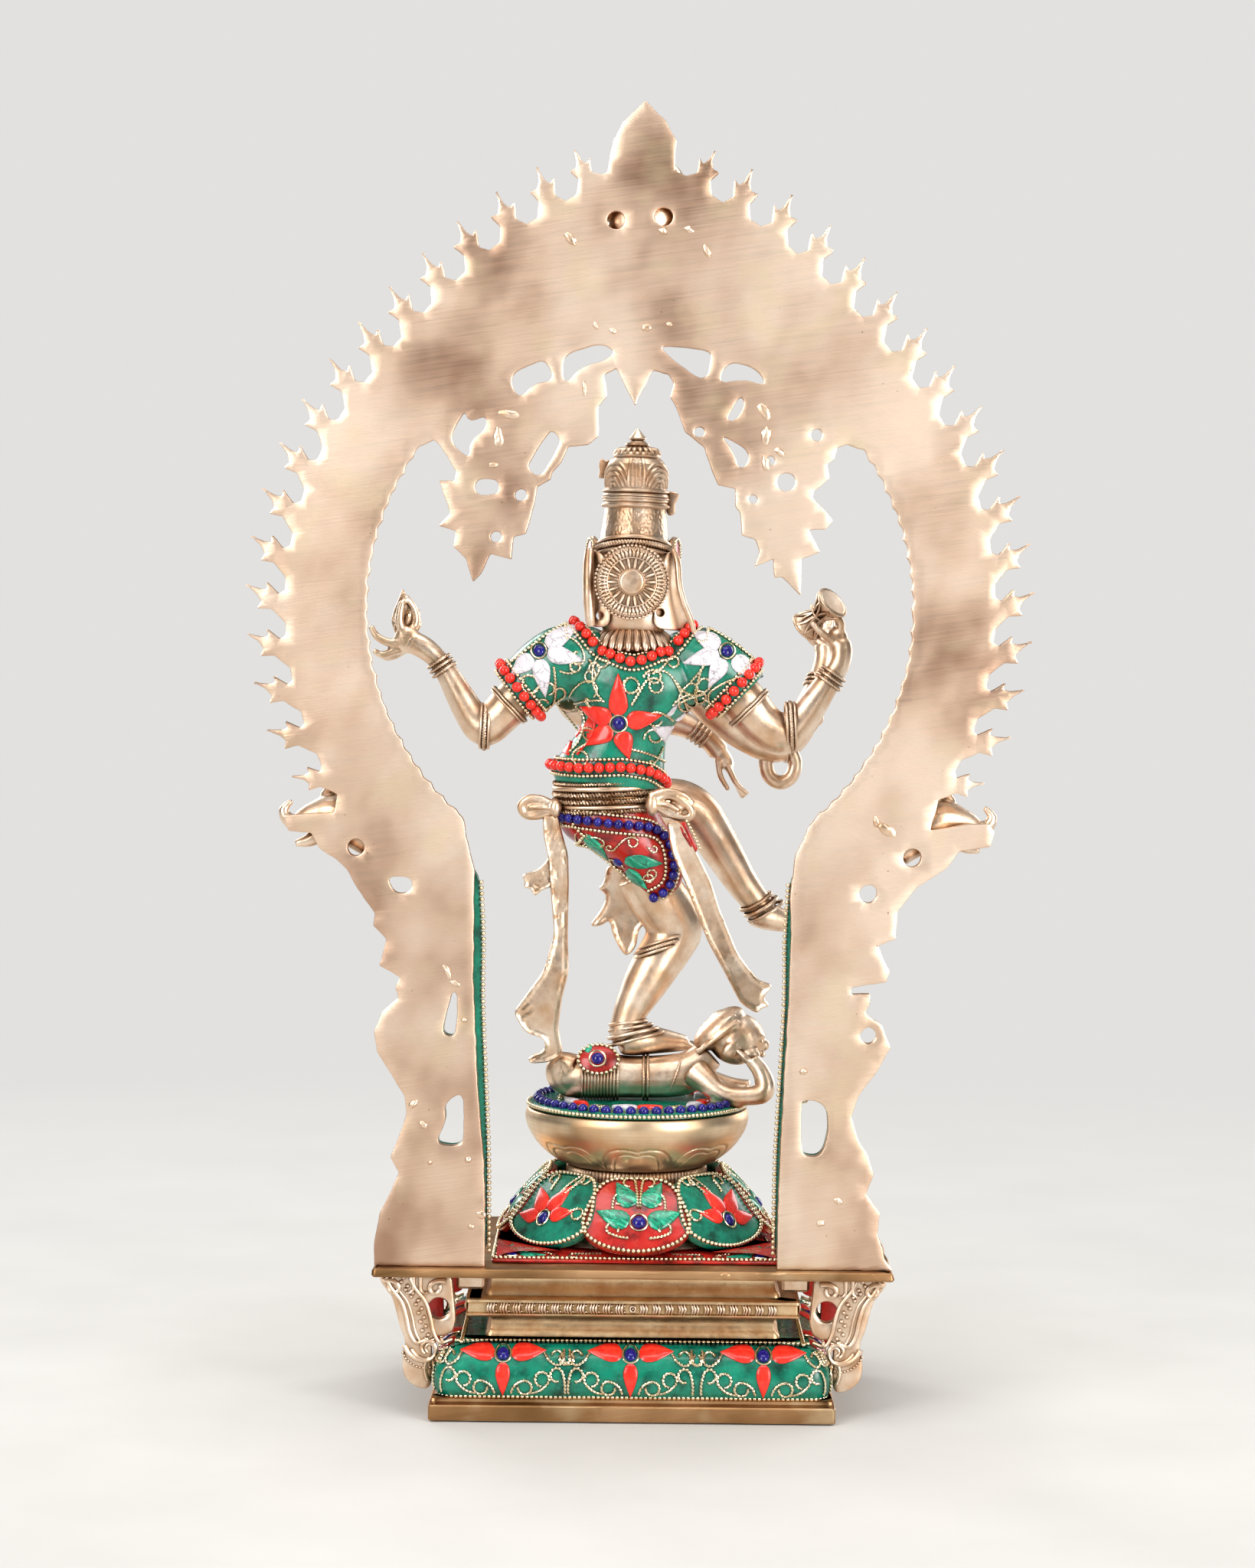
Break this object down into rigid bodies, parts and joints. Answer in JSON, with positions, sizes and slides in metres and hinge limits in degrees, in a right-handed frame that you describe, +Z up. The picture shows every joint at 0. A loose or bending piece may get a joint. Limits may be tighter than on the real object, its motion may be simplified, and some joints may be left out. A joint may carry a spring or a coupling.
{
  "type": "nataraja statue",
  "caption": "Cast brass statue of a dancing figure in a ring of flames, with resin and stone inlay, on a lotus and a stepped base.",
  "frame": {"origin": "on the floor, under the middle of the base", "axes": "+Z up along the statue's height; the figure faces -Y and the arch stands at +Y; +X is the figure's own left"},
  "size_m": [0.4526, 0.184, 0.76],
  "materials": {
    "cast_brass": "cast and polished, dark in the recesses",
    "filed_brass": "hand-filed and brushed flat castings",
    "green_resin": "turquoise and malachite chips in green resin, satin polished",
    "red_resin": "brick-red resin with stone and wire inlay, satin polished",
    "coral": "polished coral-red beads and petals",
    "lapis": "polished dark blue beads",
    "howlite": "polished white stone with grey veins",
    "malachite": "polished banded green stone",
    "brass_wire": "twisted wire and ball chain, bright"
  },
  "bodies": {
    "root": {"arch_lion_mask": "cast_brass", "arch_plate": "filed_brass", "arm_snake": "cast_brass", "base_cushion": "green_resin", "base_plate": "filed_brass", "base_slab": "filed_brass", "blessing_arm": "cast_brass", "bodice": "green_resin", "bracket_lug_left": "cast_brass", "bracket_lug_right": "cast_brass", "crossed_arm": "cast_brass", "crown": "cast_brass", "crown_finial": "cast_brass", "drum_arm": "cast_brass", "dwarf_arm": "cast_brass", "dwarf_body": "cast_brass", "dwarf_head": "cast_brass", "dwarf_hip_lozenge": "red_resin", "ear_ornament_left": "cast_brass", "ear_ornament_right": "cast_brass", "flame_arm": "cast_brass", "front_bracket_left": "cast_brass", "front_bracket_right": "cast_brass", "front_post_band_left": "green_resin", "front_post_band_right": "green_resin", "front_ring_band": "green_resin", "hair_flap_left": "cast_brass", "hair_flap_right": "cast_brass", "halo_wheel": "cast_brass", "hand_drum": "cast_brass", "hand_flame": "cast_brass", "head": "cast_brass", "hip_wrap": "red_resin", "lotus_bowl": "cast_brass", "lotus_neck_ring": "cast_brass", "lotus_plate": "red_resin", "lotus_skirt": "cast_brass", "lotus_top_disc": "green_resin", "lower_recess": "cast_brass", "makara_left": "cast_brass", "makara_right": "cast_brass", "neck_collar": "cast_brass", "ornament_moulding": "cast_brass", "raised_leg": "cast_brass", "rear_bracket_left": "filed_brass", "rear_bracket_right": "filed_brass", "ribbed_belt": "cast_brass", "sash_front": "cast_brass", "sash_left": "cast_brass", "sash_right": "cast_brass", "skirt_petal_1": "red_resin", "skirt_petal_2": "green_resin", "skirt_petal_3": "red_resin", "skirt_petal_4": "green_resin", "skirt_petal_5": "red_resin", "skirt_petal_6": "green_resin", "skirt_petal_7": "red_resin", "skirt_petal_8": "green_resin", "standing_leg": "cast_brass", "upper_recess": "cast_brass"}
  },
  "joints": []
}
